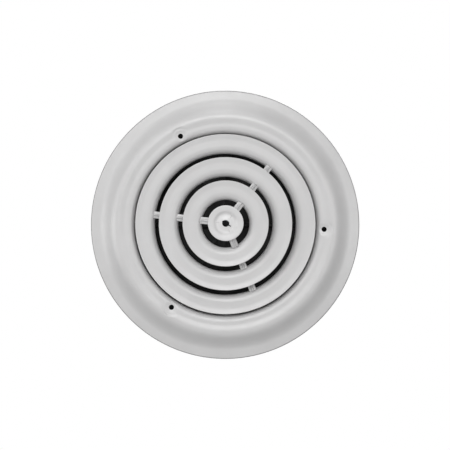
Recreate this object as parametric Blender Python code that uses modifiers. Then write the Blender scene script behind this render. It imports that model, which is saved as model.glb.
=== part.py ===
"""Round step-down ceiling air diffuser for an 8 inch duct, with a butterfly damper.

Metres, +Z up. The origin is the centre of the ceiling plane: the back of the frame's rim lies
on z = 0, the room is below it and the duct is above it.
"""

import math

import bmesh
import bpy
from mathutils import Matrix, Vector

MM = 0.001

# Sheet and running gaps
SHEET = 0.8 * MM
GAP = 0.3 * MM
STEPS = 48
RING_STEPS = 40

# Face frame
RIM_R = 147.65 * MM
HEM_WIDTH = 1.6 * MM
HEM_INNER_R = 142.5 * MM
HEM_DEPTH = 1.8 * MM
LAND_INNER_R = 138.5 * MM
LAND_SLOPE = 0.27
RAMP_R = 127.2 * MM
RAMP_Z = -8.3 * MM
RAMP_SLOPE = 0.52
CREST_R = 117.2 * MM
CREST_Z = -11.6 * MM
FLOOR_OUTER_R = 109.8 * MM
FLOOR_Z = -10.6 * MM
THROAT_R = 6.0 * MM
NECK_R = 99.7 * MM
STUB_TOP_Z = 3.0 * MM
COLLAR_TOP_Z = 40.0 * MM

# Ceiling screw seats, pressed into the frame's recess
SEAT_ANGLES = (3.0, 123.0, 243.0)
SEAT_CIRCLE_R = 108.4 * MM
SEAT_R = 8.2 * MM
SEAT_WALL = 1.8 * MM
SCREW_HOLE_R = 2.7 * MM
SEAT_STATIONS = (-5.3, -4.2, -1.0, 1.0, 3.0, 5.3)

# Air rings: name, lip radius, neck radius, lip z, neck top z
RINGS = (
    ("ring_large", 97.9 * MM, 77.5 * MM, -15.0 * MM, -5.0 * MM),
    ("ring_medium", 72.5 * MM, 51.7 * MM, -24.0 * MM, -14.0 * MM),
    ("ring_small", 46.6 * MM, 26.1 * MM, -33.0 * MM, -23.0 * MM),
)
RING_THROAT_R = 6.0 * MM

# A ring's drooping lip: inward from its edge, up from its edge, and dz/dr there
RING_LIP = ((0.0, 0.0, -0.14), (3.5 * MM, 0.57 * MM, -0.185), (7.5 * MM, 0.95 * MM, 0.0))
RING_LIP_RISE = RING_LIP[-1][1]

# Centre disc
DISC_R = 19.3 * MM
DISC_LIP_Z = -40.0 * MM
DISC_LAND_INNER_R = 14.8 * MM
DISC_DISH_R = 8.8 * MM
DISC_DISH_Z = -38.0 * MM
DISC_HUB_DROP = 0.6 * MM
DRIVER_HOLE_R = 3.85 * MM
KEYWAY_WIDTH = 1.45 * MM
KEYWAY_REACH = (-4.6 * MM, 6.4 * MM)
KEYWAY_ANGLE = 32.0

# Arms
ARM_ANGLES = (67.5, 187.5, 307.5)
ARM_WIDTH = 7.9 * MM
ARM_THICKNESS = 1.2 * MM
ARM_TAB_R = 98.5 * MM
ARM_TAB_TOP_Z = 11.0 * MM
ARM_FOOT_R = 7.2 * MM
ARM_INNER_R = 6.8 * MM
ARM_BEND_R = 17.5 * MM

# Damper
HINGE_Z = 36.0 * MM
DAMPER_RING_R = 98.6 * MM
DAMPER_RING_BOTTOM_Z = 15.0 * MM
ROD_R = 2.0 * MM
ROD_HALF_LENGTH = 99.2 * MM
KNUCKLE_INNER_R = 2.3 * MM
KNUCKLE_OUTER_R = 3.1 * MM
KNUCKLE_CLEARANCE_R = 3.45 * MM
KNUCKLE_ENDS = (8.2 * MM, 28.0 * MM, 49.3 * MM, 70.3 * MM, 91.6 * MM)
BLADE_R = 96.8 * MM
BLADE_EDGE_Y = 2.7 * MM
OPEN_ANGLE = math.radians(80.0)

# Bridge, screw and nut
BRIDGE_Z = 11.1 * MM
BRIDGE_THICKNESS = 1.2 * MM
BRIDGE_WIDTH = 14.0 * MM
BRIDGE_END_Y = 97.2 * MM
BRIDGE_TAB_TOP_Z = 30.0 * MM
BRIDGE_HOLE_R = 3.6 * MM
RIVET_ZS = (18.0 * MM, 25.0 * MM)
RIVET_HOLE_R = 1.8 * MM
RIVET_R = 1.5 * MM
THREAD_R = 3.175 * MM
THREAD_PITCH = 1.27 * MM
SCREW_TURNS = 10
NUT_TRAVEL = SCREW_TURNS * THREAD_PITCH
NUT_HALF = (5.0 * MM, 10.5 * MM, 2.5 * MM)
NUT_HOLE_R = 3.5 * MM
NUT_DROP = 19.0 * MM
PIN_Y = 8.0 * MM
PIN_R = 1.2 * MM
PIN_ENDS = (2.0 * MM, 7.7 * MM)
LUG_X = (5.6 * MM, 6.4 * MM)
LUG_MARGIN = 2.2 * MM
SLOT_HALF_WIDTH = PIN_R + 0.35 * MM


def start_scene():
    """Clear the scene and make one collection for the parts and one for the cutters."""
    for old in list(bpy.data.objects):
        bpy.data.objects.remove(old, do_unlink=True)
    made = []
    for name in ("ceiling_air_diffuser", "cutters"):
        collection = bpy.data.collections.new(name)
        bpy.context.scene.collection.children.link(collection)
        made.append(collection)
    return made


PARTS, CUTTERS = start_scene()


def make_material(name, colour, roughness, metallic):
    material = bpy.data.materials.new(name)
    material.use_nodes = True
    shader = material.node_tree.nodes["Principled BSDF"]
    shader.inputs["Base Color"].default_value = (*colour, 1.0)
    shader.inputs["Roughness"].default_value = roughness
    shader.inputs["Metallic"].default_value = metallic
    return material


def white_paint(name):
    return make_material(name + "_white_enamel", (0.62, 0.62, 0.61), 0.4, 0.0)


def black_paint(name):
    return make_material(name + "_black_enamel", (0.02, 0.02, 0.02), 0.6, 0.0)


def zinc_plate(name):
    return make_material(name + "_zinc", (0.55, 0.56, 0.58), 0.35, 1.0)


def black_oxide(name):
    return make_material(name + "_black_oxide", (0.04, 0.04, 0.045), 0.45, 1.0)


def polar(radius, degrees, z=0.0):
    angle = math.radians(degrees)
    return Vector((radius * math.cos(angle), radius * math.sin(angle), z))


def arc(centre, radii, start, end, count):
    """Points of an elliptical arc in a plane, from start to end degrees, both included."""
    points = []
    for i in range(count):
        angle = math.radians(start + (end - start) * i / (count - 1))
        points.append((centre[0] + radii[0] * math.cos(angle), centre[1] + radii[1] * math.sin(angle)))
    return points


def ease(start, end, count):
    """Points of a smooth S-shaped slope between two profile points, both included."""
    points = []
    for i in range(count):
        t = i / (count - 1)
        rise = 0.5 - 0.5 * math.cos(math.pi * t)
        points.append((start[0] + (end[0] - start[0]) * t, start[1] + (end[1] - start[1]) * rise))
    return points


def sweep(knots, count):
    """Points of a smooth profile through knots of (radius, z, dz/dr), count to each stretch."""
    points = [knots[0][:2]]
    for (r0, z0, slope0), (r1, z1, slope1) in zip(knots, knots[1:]):
        run = r1 - r0
        for i in range(1, count + 1):
            t = i / count
            z = z0 * (2 * t**3 - 3 * t**2 + 1) + z1 * (3 * t**2 - 2 * t**3)
            z += run * (slope0 * (t**3 - 2 * t**2 + t) + slope1 * (t**3 - t**2))
            points.append((r0 + run * t, z))
    return points


def place(name, mesh, material):
    part = bpy.data.objects.new(name, mesh)
    PARTS.objects.link(part)
    if material:
        mesh.materials.append(material)
    return part


def as_cutter(cutter):
    """Move an object to the cutters: a guide for Booleans that is not a part."""
    for collection in list(cutter.users_collection):
        collection.objects.unlink(cutter)
    CUTTERS.objects.link(cutter)
    cutter.hide_render = True
    cutter.display_type = "WIRE"
    return cutter


def boolean(part, cutter, operation):
    modifier = part.modifiers.new(operation.lower() + "_" + cutter.name, "BOOLEAN")
    modifier.operation = operation
    modifier.object = cutter
    modifier.solver = "EXACT"


def round_bar(name, radius, start, end, segments=24):
    """A solid cylinder between two points, with its origin halfway."""
    start = Vector(start)
    end = Vector(end)
    bm = bmesh.new()
    length = (end - start).length
    bmesh.ops.create_cone(
        bm, cap_ends=True, segments=segments, radius1=radius, radius2=radius, depth=length
    )
    mesh = bpy.data.meshes.new(name)
    bm.to_mesh(mesh)
    bm.free()
    mesh.shade_smooth()
    mesh.set_sharp_from_angle(angle=math.radians(40))
    bar = bpy.data.objects.new(name, mesh)
    PARTS.objects.link(bar)
    bar.location = (start + end) / 2
    bar.rotation_euler = (end - start).to_track_quat("Z", "Y").to_euler()
    return bar


def block(name, low, high):
    bm = bmesh.new()
    bmesh.ops.create_cube(bm, size=1.0)
    low = Vector(low)
    high = Vector(high)
    bmesh.ops.scale(bm, vec=high - low, verts=bm.verts)
    bmesh.ops.translate(bm, vec=(low + high) / 2, verts=bm.verts)
    mesh = bpy.data.meshes.new(name)
    bm.to_mesh(mesh)
    bm.free()
    part = bpy.data.objects.new(name, mesh)
    PARTS.objects.link(part)
    return part


def turned(name, outline, material, closed=True, steps=STEPS):
    """A profile of (radius, z) points, down the outer side, turned about Z by a Screw."""
    edges = [(i, i + 1) for i in range(len(outline) - 1)]
    if closed:
        edges.append((len(outline) - 1, 0))
    mesh = bpy.data.meshes.new(name)
    mesh.from_pydata([(r, 0.0, z) for r, z in outline], edges, [])
    part = place(name, mesh, material)
    screw = part.modifiers.new("turn", "SCREW")
    screw.axis = "Z"
    screw.angle = math.tau
    screw.steps = steps
    screw.render_steps = steps
    screw.use_merge_vertices = True
    screw.merge_threshold = 0.00001
    screw.use_smooth_shade = True
    return part


def flat_shape(name, outline, thickness, material):
    """A flat outline in XY, filled and given a thickness about z = 0, as a welded mesh."""
    curve = bpy.data.curves.new(name, "CURVE")
    curve.dimensions = "2D"
    curve.fill_mode = "BOTH"
    curve.extrude = thickness / 2
    spline = curve.splines.new("POLY")
    spline.points.add(len(outline) - 1)
    for point, (x, y) in zip(spline.points, outline):
        point.co = (x, y, 0.0, 1.0)
    spline.use_cyclic_u = True
    guide = bpy.data.objects.new(name + "_outline", curve)
    PARTS.objects.link(guide)
    evaluated = guide.evaluated_get(bpy.context.evaluated_depsgraph_get())
    mesh = bpy.data.meshes.new_from_object(evaluated)
    bpy.data.objects.remove(guide, do_unlink=True)
    bpy.data.curves.remove(curve)
    bm = bmesh.new()
    bm.from_mesh(mesh)
    bmesh.ops.remove_doubles(bm, verts=bm.verts, dist=0.00001)
    bmesh.ops.recalc_face_normals(bm, faces=bm.faces)
    bm.to_mesh(mesh)
    bm.free()
    mesh.name = name
    mesh.materials.clear()
    return place(name, mesh, material)


def strip_outline(path, thickness):
    """Both sides of a folded strip: its centre path moved half a thickness each way, mitred."""
    points = [Vector(point) for point in path]
    left = []
    right = []
    for i, point in enumerate(points):
        before = (point - points[i - 1]).normalized() if i > 0 else None
        after = (points[i + 1] - point).normalized() if i < len(points) - 1 else None
        before = before or after
        after = after or before
        normal_before = Vector((-before.y, before.x))
        normal_after = Vector((-after.y, after.x))
        mitre = (normal_before + normal_after).normalized()
        mitre *= thickness / 2 / mitre.dot(normal_after)
        left.append(tuple(point + mitre))
        right.append(tuple(point - mitre))
    return left + right[::-1]


def seat_weight(point):
    """One on a screw seat's pressed flat, falling to zero across its wall."""
    best = 0.0
    for degrees in SEAT_ANGLES:
        centre = polar(SEAT_CIRCLE_R, degrees)
        distance = math.hypot(point.x - centre.x, point.y - centre.y)
        t = min(max((distance - SEAT_R) / SEAT_WALL, 0.0), 1.0)
        best = max(best, 1.0 - t * t * (3.0 - 2.0 * t))
    return best


def frame_outline():
    """The frame's section: (radius, z, z of the visible side there) around the sheet."""
    front = arc((RIM_R - HEM_WIDTH, -HEM_DEPTH / 2), (HEM_WIDTH, HEM_DEPTH / 2), 90, -90, 5)
    land_z = -HEM_DEPTH - (RIM_R - HEM_WIDTH - LAND_INNER_R) * LAND_SLOPE
    ramp = [
        (LAND_INNER_R, land_z, LAND_SLOPE),
        (RAMP_R, RAMP_Z, RAMP_SLOPE),
        (CREST_R, CREST_Z, 0.0),
    ]
    slope = sweep(ramp, 2)
    slope += ease((CREST_R, CREST_Z), (FLOOR_OUTER_R, FLOOR_Z), 5)[1:]
    front += slope
    throat_centre = (NECK_R + THROAT_R, FLOOR_Z + THROAT_R)
    front += arc(throat_centre, (THROAT_R, THROAT_R), 270, 180, 4)
    front.append((NECK_R, STUB_TOP_Z))
    inner = THROAT_R - SHEET
    back = [(NECK_R + SHEET, STUB_TOP_Z)]
    back += arc(throat_centre, (inner, inner), 180, 270, 3)
    outline = [(r, z, z) for r, z in front] + [(r, z, z) for r, z in back]
    outline += [(r, z + SHEET, z) for r, z in reversed(slope)]
    hem_front_z = -HEM_DEPTH - (RIM_R - HEM_WIDTH - HEM_INNER_R) * LAND_SLOPE
    outline += [(HEM_INNER_R, hem_front_z + SHEET, 0.0), (HEM_INNER_R, 0.0, 0.0)]
    return outline


def face_frame():
    """The section carried round the axis, with the ridge pressed flat at the screw seats."""
    angles = {round(360.0 * i / STEPS, 4) for i in range(STEPS)}
    for seat in SEAT_ANGLES:
        angles |= {round((seat + offset) % 360.0, 4) for offset in SEAT_STATIONS}
    outline = frame_outline()
    bm = bmesh.new()
    sections = []
    for degrees in sorted(angles):
        section = []
        for r, z, front_z in outline:
            point = polar(r, degrees, z)
            on_ridge = FLOOR_OUTER_R < r < LAND_INNER_R
            if on_ridge and front_z < FLOOR_Z:
                point.z += (FLOOR_Z - front_z) * seat_weight(point)
            section.append(bm.verts.new(point))
        sections.append(section)
    count = len(outline)
    for i, section in enumerate(sections):
        after = sections[(i + 1) % len(sections)]
        for j in range(count):
            k = (j + 1) % count
            bm.faces.new((section[j], after[j], after[k], section[k]))
    bmesh.ops.recalc_face_normals(bm, faces=bm.faces)
    mesh = bpy.data.meshes.new("face_frame")
    bm.to_mesh(mesh)
    bm.free()
    mesh.shade_smooth()
    mesh.set_sharp_from_angle(angle=math.radians(40))
    frame = place("face_frame", mesh, white_paint("face_frame"))
    for i, degrees in enumerate(SEAT_ANGLES):
        start = polar(SEAT_CIRCLE_R, degrees, FLOOR_Z - 3 * MM)
        end = polar(SEAT_CIRCLE_R, degrees, FLOOR_Z + 5 * MM)
        hole = as_cutter(round_bar(f"ceiling_screw_hole_{i + 1}", SCREW_HOLE_R, start, end))
        boolean(frame, hole, "DIFFERENCE")
    return frame


def duct_collar():
    """The rolled neck, seam-welded on top of the frame's drawn stub. The duct sleeves over it."""
    outline = [
        (NECK_R + SHEET, COLLAR_TOP_Z),
        (NECK_R + SHEET, STUB_TOP_Z + GAP),
        (NECK_R, STUB_TOP_Z + GAP),
        (NECK_R, COLLAR_TOP_Z),
    ]
    return turned("duct_collar", outline, white_paint("duct_collar"))


def air_ring(name, lip_r, neck_r, lip_z, neck_top_z):
    """A pressed ring: lip dropped towards the room, flat flange, rounded throat, short neck."""
    flange_z = lip_z + RING_LIP_RISE
    lip = sweep([(lip_r - inward, lip_z + up, slope) for inward, up, slope in RING_LIP], 2)
    centre = (neck_r + RING_THROAT_R, flange_z + RING_THROAT_R)
    inner = RING_THROAT_R - SHEET
    outline = list(lip)
    outline += arc(centre, (RING_THROAT_R, RING_THROAT_R), 270, 180, 4)
    outline += [(neck_r, neck_top_z), (neck_r + SHEET, neck_top_z)]
    outline += arc(centre, (inner, inner), 180, 270, 3)
    outline += [(r, z + SHEET) for r, z in reversed(lip)]
    return turned(name, outline, white_paint(name), steps=RING_STEPS)


def centre_disc():
    """A dished disc with a flat land, a low hub and a driver hole with two keyways."""
    land_z = DISC_LIP_Z
    wall = ease((DISC_LAND_INNER_R, land_z), (DISC_DISH_R, DISC_DISH_Z), 4)
    outline = [(0.0, DISC_DISH_Z - DISC_HUB_DROP + SHEET)]
    outline += [(r, z + SHEET) for r, z in reversed(wall)]
    outline += [(DISC_R - SHEET, land_z + SHEET)]
    outline += arc((DISC_R - SHEET, land_z + SHEET), (SHEET, SHEET), 0, -90, 3)[:2]
    outline += [(DISC_R - SHEET, land_z)]
    outline += wall
    outline += [(0.0, DISC_DISH_Z - DISC_HUB_DROP)]
    disc = turned("centre_disc", outline, white_paint("centre_disc"), closed=False, steps=30)
    low = DISC_DISH_Z - 2 * MM
    high = DISC_DISH_Z + 3 * MM
    hole = round_bar("driver_hole", DRIVER_HOLE_R, (0, 0, low), (0, 0, high), 24)
    keyway = block(
        "driver_keyway",
        (KEYWAY_REACH[0], -KEYWAY_WIDTH / 2, low),
        (KEYWAY_REACH[1], KEYWAY_WIDTH / 2, high),
    )
    keyway.rotation_euler.z = math.radians(KEYWAY_ANGLE)
    boolean(disc, as_cutter(hole), "DIFFERENCE")
    boolean(disc, as_cutter(keyway), "DIFFERENCE")
    return disc


def arm_path():
    """The folded strip's centre line as (radius, z), from the frame's neck to the disc."""
    half = ARM_THICKNESS / 2
    # A tread runs just over each ring's neck, then a foot follows that ring's throat down.
    path = [(ARM_TAB_R, ARM_TAB_TOP_Z), (ARM_TAB_R, RINGS[0][4] + GAP + half)]
    for _, _, neck_r, lip_z, neck_top_z in RINGS:
        centre = (neck_r + RING_THROAT_R, lip_z + RING_LIP_RISE + RING_THROAT_R)
        foot = arc(centre, (ARM_FOOT_R, ARM_FOOT_R), 180, 225, 3)
        path += [(foot[0][0], neck_top_z + GAP + half)] + foot
    disc_z = DISC_DISH_Z + SHEET + GAP + half
    path += [(ARM_BEND_R, disc_z), (ARM_INNER_R, disc_z)]
    return path


def arms():
    outline = strip_outline(arm_path(), ARM_THICKNESS)
    for i, degrees in enumerate(ARM_ANGLES):
        name = f"arm_{i + 1}"
        arm = flat_shape(name, outline, ARM_WIDTH, white_paint(name))
        turn = Matrix.Rotation(math.radians(degrees), 4, "Z")
        arm.matrix_world = turn @ Matrix.Rotation(math.radians(90), 4, "X")


def damper_ring():
    """A ring inside the collar whose lip rests over the collar's top edge."""
    outer = DAMPER_RING_R + SHEET
    lip_r = NECK_R + SHEET
    lip_z = COLLAR_TOP_Z + GAP
    outline = [
        (lip_r, lip_z + SHEET),
        (lip_r, lip_z),
        (outer, lip_z),
        (outer, DAMPER_RING_BOTTOM_Z),
        (DAMPER_RING_R, DAMPER_RING_BOTTOM_Z),
        (DAMPER_RING_R, lip_z + SHEET),
    ]
    ring = turned("damper_ring", outline, black_paint("damper_ring"))
    reach = NECK_R + 2 * MM
    bore = round_bar("rod_bore", KNUCKLE_INNER_R, (-reach, 0, HINGE_Z), (reach, 0, HINGE_Z), 12)
    boolean(ring, as_cutter(bore), "DIFFERENCE")
    return ring


def damper_bridge():
    """A dropped strap along Y with turned-up ends."""
    path = [
        (BRIDGE_END_Y, BRIDGE_TAB_TOP_Z),
        (BRIDGE_END_Y, BRIDGE_Z),
        (-BRIDGE_END_Y, BRIDGE_Z),
        (-BRIDGE_END_Y, BRIDGE_TAB_TOP_Z),
    ]
    outline = strip_outline(path, BRIDGE_THICKNESS)
    bridge = flat_shape("damper_bridge", outline, BRIDGE_WIDTH, black_paint("damper_bridge"))
    # Local X becomes world Y, local Y becomes world Z and local Z becomes world X.
    bridge.matrix_world = Matrix(((0, 0, 1, 0), (1, 0, 0, 0), (0, 1, 0, 0), (0, 0, 0, 1)))
    hole = round_bar("bridge_screw_hole", BRIDGE_HOLE_R, (0, 0, 8 * MM), (0, 0, 14 * MM))
    boolean(bridge, as_cutter(hole), "DIFFERENCE")
    return bridge


def rivets(collar, ring, bridge):
    """Rivets through bridge, damper ring and collar, two at each end of the bridge."""
    head_face = BRIDGE_END_Y - BRIDGE_THICKNESS / 2 - GAP
    tail_face = NECK_R + SHEET + GAP
    outline = [
        (0.0, tail_face + 0.55 * MM),
        (1.9 * MM, tail_face + 0.55 * MM),
        (2.1 * MM, tail_face),
        (RIVET_R, tail_face),
        (RIVET_R, head_face),
        (2.8 * MM, head_face),
        (2.4 * MM, head_face - 0.8 * MM),
        (0.0, head_face - 1.1 * MM),
    ]
    number = 0
    for side in (1, -1):
        for z in RIVET_ZS:
            number += 1
            name = f"damper_rivet_{number}"
            rivet = turned(name, outline, zinc_plate(name), closed=False, steps=12)
            rivet.rotation_euler = (math.radians(-90 * side), 0, 0)
            rivet.location.z = z
            hole = round_bar(
                f"rivet_hole_{number}",
                RIVET_HOLE_R,
                (0, side * (BRIDGE_END_Y - 3 * MM), z),
                (0, side * (NECK_R + 3 * MM), z),
                12,
            )
            as_cutter(hole)
            for part in (collar, ring, bridge):
                boolean(part, hole, "DIFFERENCE")


def hinge_rod():
    ends = ((-ROD_HALF_LENGTH, 0, HINGE_Z), (ROD_HALF_LENGTH, 0, HINGE_Z))
    rod = round_bar("hinge_rod", ROD_R, *ends, 20)
    rod.data.materials.append(black_oxide("hinge_rod"))


def cam_point(angle):
    """Where the nut's pin sits in a blade's own frame when the blade is open by an angle."""
    lift = NUT_TRAVEL * angle / OPEN_ANGLE
    y = PIN_Y
    z = lift - NUT_DROP
    return Vector((y * math.cos(angle) + z * math.sin(angle), z * math.cos(angle) - y * math.sin(angle)))


def cam_slot_outline():
    """A round-ended slot along the pin's path."""
    margin = math.radians(2.0)
    count = 13
    angles = [-margin + (OPEN_ANGLE + 2 * margin) * i / (count - 1) for i in range(count)]
    path = [cam_point(angle) for angle in angles]
    sides = strip_outline([tuple(p) for p in path], 2 * SLOT_HALF_WIDTH)
    left = sides[:count]
    right = sides[count:]
    outline = list(left)
    for end, start_side, stop_side in ((path[-1], left[-1], right[0]), (path[0], right[-1], left[0])):
        arm = Vector(start_side) - end
        for i in range(1, 5):
            turn = Matrix.Rotation(-math.pi * i / 5, 2)
            outline.append(tuple(end + turn @ arm))
        if stop_side == right[0]:
            outline += right
    return outline


def cam_lug(name):
    """A plate hanging from the blade, wide enough to carry the cam slot."""
    reach = SLOT_HALF_WIDTH + LUG_MARGIN
    points = [(4.5 * MM, 0.0), (13.0 * MM, 0.0)]
    for i in range(4):
        centre = cam_point(OPEN_ANGLE * i / 3)
        for j in range(8):
            angle = math.tau * j / 8
            points.append((centre.x + reach * math.cos(angle), centre.y + reach * math.sin(angle)))
    bm = bmesh.new()
    for x in LUG_X:
        for y, z in points:
            bm.verts.new((x, y, z))
    hull = bmesh.ops.convex_hull(bm, input=bm.verts)
    bmesh.ops.delete(bm, geom=hull["geom_interior"], context="VERTS")
    bmesh.ops.recalc_face_normals(bm, faces=bm.faces)
    mesh = bpy.data.meshes.new(name)
    bm.to_mesh(mesh)
    bm.free()
    return place(name, mesh, None)


def blade_mesh():
    """One half-moon blade about its hinge axis: plate, rolled knuckles and cam lug."""
    start = math.degrees(math.asin(BLADE_EDGE_Y / BLADE_R))
    outline = arc((0.0, 0.0), (BLADE_R, BLADE_R), start, 180 - start, 25)
    blade = flat_shape("damper_blade", outline, SHEET, None)
    lug = as_cutter(cam_lug("cam_lug"))
    boolean(blade, lug, "UNION")
    own = []
    others = [(-KNUCKLE_ENDS[0], KNUCKLE_ENDS[0])]
    for i in range(4):
        span = (KNUCKLE_ENDS[i], KNUCKLE_ENDS[i + 1] - GAP)
        mirrored = (-span[1], -span[0])
        own.append(span if i % 2 == 0 else mirrored)
        others.append(mirrored if i % 2 == 0 else span)
    others.append((KNUCKLE_ENDS[4], BLADE_R + MM))
    others.append((-BLADE_R - MM, -KNUCKLE_ENDS[4]))
    for i, (low, high) in enumerate(own):
        tube = round_bar(f"knuckle_{i}", KNUCKLE_OUTER_R, (low, 0, 0), (high, 0, 0), 20)
        boolean(blade, as_cutter(tube), "UNION")
    for i, (low, high) in enumerate(others):
        ends = ((low - GAP, 0, 0), (high + GAP, 0, 0))
        room = round_bar(f"knuckle_room_{i}", KNUCKLE_CLEARANCE_R, *ends, 20)
        boolean(blade, as_cutter(room), "DIFFERENCE")
    bore = round_bar("knuckle_bore", KNUCKLE_INNER_R, (-BLADE_R, 0, 0), (BLADE_R, 0, 0), 20)
    boolean(blade, as_cutter(bore), "DIFFERENCE")
    slot = flat_shape("cam_slot", cam_slot_outline(), 4 * MM, None)
    middle = (LUG_X[0] + LUG_X[1]) / 2
    slot.matrix_world = Matrix(((0, 0, 1, middle), (1, 0, 0, 0), (0, 1, 0, 0), (0, 0, 0, 1)))
    boolean(blade, as_cutter(slot), "DIFFERENCE")
    bpy.context.view_layer.update()
    evaluated = blade.evaluated_get(bpy.context.evaluated_depsgraph_get())
    mesh = bpy.data.meshes.new_from_object(evaluated)
    bpy.data.objects.remove(blade, do_unlink=True)
    return mesh


def damper_blades():
    """The same pressing twice, the second turned half a turn about Z."""
    mesh = blade_mesh()
    for name, turn in (("damper_blade_a", 0.0), ("damper_blade_b", math.pi)):
        own = mesh.copy()
        blade = place(name, own, black_paint(name))
        blade.location.z = HINGE_Z
        blade.rotation_euler.z = turn


def travel_nut():
    """A block with a clearance bore for the screw and a pin in each flank."""
    nut = block("travel_nut", [-half for half in NUT_HALF], NUT_HALF)
    nut.data.materials.append(zinc_plate("travel_nut"))
    nut.location.z = HINGE_Z - NUT_DROP
    z = nut.location.z
    reach = 5 * MM
    bore = round_bar("nut_bore", NUT_HOLE_R, (0, 0, z - reach), (0, 0, z + reach), 24)
    boolean(nut, as_cutter(bore), "DIFFERENCE")
    for name, side in (("nut_pin_a", 1), ("nut_pin_b", -1)):
        inner = side * PIN_ENDS[0]
        outer = side * PIN_ENDS[1]
        pin = round_bar(name, PIN_R, (inner, side * PIN_Y, z), (outer, side * PIN_Y, z), 16)
        pin.data.materials.append(zinc_plate(name))
        ends = ((inner - side * GAP, side * PIN_Y, z), (outer, side * PIN_Y, z))
        socket = round_bar(name + "_socket", PIN_R + GAP, *ends, 16)
        boolean(nut, as_cutter(socket), "DIFFERENCE")
        bpy.context.view_layer.update()
        pin.parent = nut
        pin.matrix_parent_inverse = nut.matrix_world.inverted()


def adjusting_screw():
    """Slotted screw from below the bridge to just under the hinge, with its washer and clip."""
    head_low = 6.5 * MM
    head_high = 9.0 * MM
    groove_r = 2.45 * MM
    clip_low = BRIDGE_Z + BRIDGE_THICKNESS / 2 + GAP
    clip_high = clip_low + SHEET
    tip = 32.3 * MM
    outline = [
        (0.0, tip),
        (THREAD_R - 0.6 * MM, tip),
        (THREAD_R, tip - 0.6 * MM),
        (THREAD_R, clip_high + GAP / 2),
        (groove_r, clip_high + GAP / 2),
        (groove_r, clip_low - GAP / 2),
        (THREAD_R, clip_low - GAP / 2),
        (THREAD_R, head_high),
        (5.0 * MM, head_high),
        (5.0 * MM, head_low + 0.5 * MM),
        (4.5 * MM, head_low),
        (0.0, head_low),
    ]
    name = "adjusting_screw"
    screw = turned(name, outline, black_oxide(name), closed=False, steps=16)
    slot = block(
        "driver_slot",
        (-6 * MM, -0.6 * MM, head_low - MM),
        (6 * MM, 0.6 * MM, head_low + 1.2 * MM),
    )
    boolean(screw, as_cutter(slot), "DIFFERENCE")
    washer_low = head_high + GAP
    washer_high = BRIDGE_Z - BRIDGE_THICKNESS / 2 - GAP
    washer = [
        (6.0 * MM, washer_high),
        (6.0 * MM, washer_low),
        (NUT_HOLE_R, washer_low),
        (NUT_HOLE_R, washer_high),
    ]
    turned("thrust_washer", washer, zinc_plate("thrust_washer"), steps=16)
    clip = arc((0.0, 0.0), (5.5 * MM, 5.5 * MM), 125, 415, 20)
    clip += arc((0.0, 0.0), (2.8 * MM, 2.8 * MM), 415, 125, 14)
    name = "retaining_clip"
    ring = flat_shape(name, clip, clip_high - clip_low, zinc_plate(name))
    ring.location.z = (clip_low + clip_high) / 2


def build():
    face_frame()
    collar = duct_collar()
    for ring in RINGS:
        air_ring(*ring)
    centre_disc()
    arms()
    damper = damper_ring()
    bridge = damper_bridge()
    rivets(collar, damper, bridge)
    hinge_rod()
    damper_blades()
    travel_nut()
    adjusting_screw()


build()
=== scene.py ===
"""Looks of the ceiling air diffuser: fine pressed-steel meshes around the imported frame."""

import math

import bmesh
import bpy
from mathutils import Matrix, Vector

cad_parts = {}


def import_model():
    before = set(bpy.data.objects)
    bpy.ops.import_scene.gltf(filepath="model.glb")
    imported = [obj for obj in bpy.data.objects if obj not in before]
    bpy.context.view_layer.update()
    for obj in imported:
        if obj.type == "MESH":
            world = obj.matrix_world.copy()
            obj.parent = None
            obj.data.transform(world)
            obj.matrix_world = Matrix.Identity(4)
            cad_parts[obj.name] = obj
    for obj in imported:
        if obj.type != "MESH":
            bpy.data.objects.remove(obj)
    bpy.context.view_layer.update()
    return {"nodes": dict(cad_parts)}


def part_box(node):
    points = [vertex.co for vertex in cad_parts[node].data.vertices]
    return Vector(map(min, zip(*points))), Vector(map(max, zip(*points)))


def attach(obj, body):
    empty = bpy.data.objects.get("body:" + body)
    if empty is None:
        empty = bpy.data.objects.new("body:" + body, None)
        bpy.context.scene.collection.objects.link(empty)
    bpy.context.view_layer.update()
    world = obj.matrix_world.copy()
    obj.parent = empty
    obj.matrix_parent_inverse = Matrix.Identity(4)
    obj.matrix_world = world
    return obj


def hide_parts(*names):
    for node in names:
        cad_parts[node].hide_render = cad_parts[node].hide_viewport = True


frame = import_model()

NODE_BOXES = {node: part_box(node) for node in frame["nodes"]}
MM = 0.001
SHEET = 0.8 * MM
GAP = 0.3 * MM
STATIONS = 240


def low(node):
    return NODE_BOXES[node][0]


def high(node):
    return NODE_BOXES[node][1]


# Face frame section
RIM_R = high("face_frame")[0]
# Width of the darker tone painted on the rim's edge as shade
RIM_EDGE = 1.0 * MM
HEM_WIDTH = 2.6 * MM
HEM_DEPTH = 1.8 * MM
HEM_INNER_R = 142.5 * MM
LAND_INNER_R = 138.5 * MM
LAND_SLOPE = 0.18
RAMP_R = 126.8 * MM
RAMP_Z = -8.3 * MM
RAMP_SLOPE = 0.58
CREST_R = 117.2 * MM
CREST_Z = low("face_frame")[2]
FLOOR_OUTER_R = 109.8 * MM
FLOOR_Z = CREST_Z + 1.0 * MM
THROAT_RADII = (8.0 * MM, 6.0 * MM)
NECK_R = 99.7 * MM
STUB_TOP_Z = high("face_frame")[2]

# Ceiling screw seats
SEAT_ANGLES = (3.0, 123.0, 243.0)
SEAT_CIRCLE_R = 108.4 * MM
SEAT_R = 8.2 * MM
SEAT_WALL = 1.8 * MM
WELL_R = 3.3 * MM
WELL_WALL = 3.0 * MM
WELL_DEPTH = 0.95 * MM
SCREW_HOLE_R = 2.85 * MM

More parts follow.
